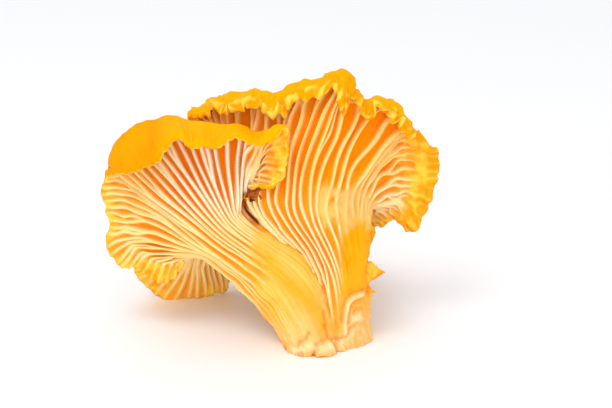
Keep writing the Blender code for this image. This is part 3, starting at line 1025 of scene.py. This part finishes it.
def mottled_finish(name, low, high):
    """A finish of two colours in fine mottles."""
    finish = Finish(name)
    tone = finish.rise(finish.noise(0.0009, 3.0), 0.35, 0.65)
    finish.set(Base_Color=finish.mix(tone, low, high), Roughness=0.55 + 0.1 * tone, Specular_IOR_Level=0.06)
    return finish.material


def make_thorns():
    """Thorns of torn flesh that stand off the stem, each rounded at the root and sharp at the tip."""
    rough = Ripples(np.random.default_rng(5), 1.3)
    roughness = 0.3
    shape = bmesh.new()
    for root, tip, breadth, height in THORNS:
        made = bmesh.ops.create_uvsphere(shape, u_segments=32, v_segments=24, radius=1.0)
        root = np.array(root)
        along = np.array(tip) - root
        for vert in made["verts"]:
            share = vert.co.x / 2 + 0.5
            taper = math.sqrt(1.001 - share) * (1.4 - 0.7 * share)
            point = root + along * share + taper * np.array((0, breadth * vert.co.y, height * vert.co.z))
            point = point + roughness * breadth * rough(point) * (1 - share)
            vert.co = Vector((point + ORIGIN_SHIFT) * MM)
    mesh = bpy.data.meshes.new("thorns")
    shape.to_mesh(mesh)
    shape.free()
    add_piece("thorns", mesh, mottled_finish("torn_flesh", colour(246, 142, 10), colour(254, 190, 60)))


def make_crumbs():
    """Crumbs of dark soil caught between the caps."""
    rough = Ripples(np.random.default_rng(6), 0.8)
    roughness = 0.4
    shape = bmesh.new()
    for middle, radius in CRUMBS:
        made = bmesh.ops.create_icosphere(shape, subdivisions=4, radius=radius)
        for vert in made["verts"]:
            point = np.array(vert.co)
            point = point * (1 + roughness * rough(point + middle)) + middle
            vert.co = Vector((point + ORIGIN_SHIFT) * MM)
    mesh = bpy.data.meshes.new("crumbs")
    shape.to_mesh(mesh)
    shape.free()
    add_piece("crumbs", mesh, mottled_finish("soil", colour(96, 40, 12), colour(206, 112, 40)))


def make_stage():
    """A white table, and the soft light of a studio."""
    half_side = 1.5
    floor_mesh = bpy.data.meshes.new("floor")
    shape = bmesh.new()
    bmesh.ops.create_grid(shape, x_segments=1, y_segments=1, size=half_side)
    shape.to_mesh(floor_mesh)
    shape.free()
    floor = bpy.data.objects.new("floor", floor_mesh)
    bpy.context.scene.collection.objects.link(floor)
    table = Finish("white_table")
    table.set(Base_Color=(0.945, 0.95, 0.97, 1), Roughness=0.55)
    floor_mesh.materials.append(table.material)
    world = bpy.data.worlds.new("studio")
    world.use_nodes = True
    background = world.node_tree.nodes["Background"]
    background.inputs["Color"].default_value = (1, 1, 1, 1)
    background.inputs["Strength"].default_value = 0.9
    bpy.context.scene.world = world
    add_lamp("key", place=(-0.18, -0.22, 0.50), size=0.30, power=0.9)
    add_lamp("fill", place=(0.02, -0.50, 0.11), size=0.35, power=0.6)


def add_lamp(name, place, size, power):
    """A soft round lamp that points at the mushroom, with its place and size in metres."""
    light = bpy.data.lights.new(name, "AREA")
    light.shape = "DISK"
    light.size = size
    light.energy = power
    lamp = bpy.data.objects.new(name, light)
    bpy.context.scene.collection.objects.link(lamp)
    lamp.location = place
    middle = Vector((0, 0, 0.02))
    lamp.rotation_euler = (middle - lamp.location).to_track_quat("-Z", "Y").to_euler()


def make_camera():
    """A long lens, looking slightly down on the gills."""
    lens = bpy.data.cameras.new("camera")
    lens.lens = 100
    lens.sensor_width = 36
    lens.clip_start = 0.01
    camera = bpy.data.objects.new("camera", lens)
    bpy.context.scene.collection.objects.link(camera)
    tilt = math.radians(20)
    distance = 0.340
    aim = Vector((0.0068, 0.0, 0.0231)) + Vector(ORIGIN_SHIFT * MM)
    camera.location = aim + distance * Vector((0, -math.cos(tilt), math.sin(tilt)))
    camera.rotation_euler = (math.pi / 2 - tilt, 0, 0)
    bpy.context.scene.camera = camera


LEFT_FLESH = flesh_finish(
    "left_flesh",
    crest=colour(254, 220, 146),
    white_lit_crest=colour(255, 244, 216),
    shaded_valley=colour(247, 160, 36),
    white_shaded_valley=colour(241, 134, 0),
    stem_pale=colour(253, 205, 105),
    stem_deep=colour(250, 168, 18),
    skin_low=colour(255, 149, 0),
    skin_high=colour(255, 176, 0),
    rim=0.0,
)
RIGHT_FLESH = flesh_finish(
    "right_flesh",
    crest=colour(254, 212, 128),
    white_lit_crest=colour(255, 228, 168),
    shaded_valley=colour(246, 150, 6),
    white_shaded_valley=colour(248, 160, 30),
    stem_pale=colour(252, 190, 66),
    stem_deep=colour(250, 150, 2),
    skin_low=colour(255, 150, 0),
    skin_high=colour(255, 176, 0),
    rim=0.85,
)
add_piece("left_cap", lay_on_rows(LeftFunnel("left_cap", LEFT_RINGS, LEFT_CAP[::-1])), LEFT_FLESH)
add_piece("right_cap", lay_on_rows(RightFunnel("right_cap", RIGHT_RINGS, RIGHT_CAP)), RIGHT_FLESH)
make_thorns()
make_crumbs()
make_stage()
make_camera()
bpy.context.scene.view_settings.view_transform = "Standard"
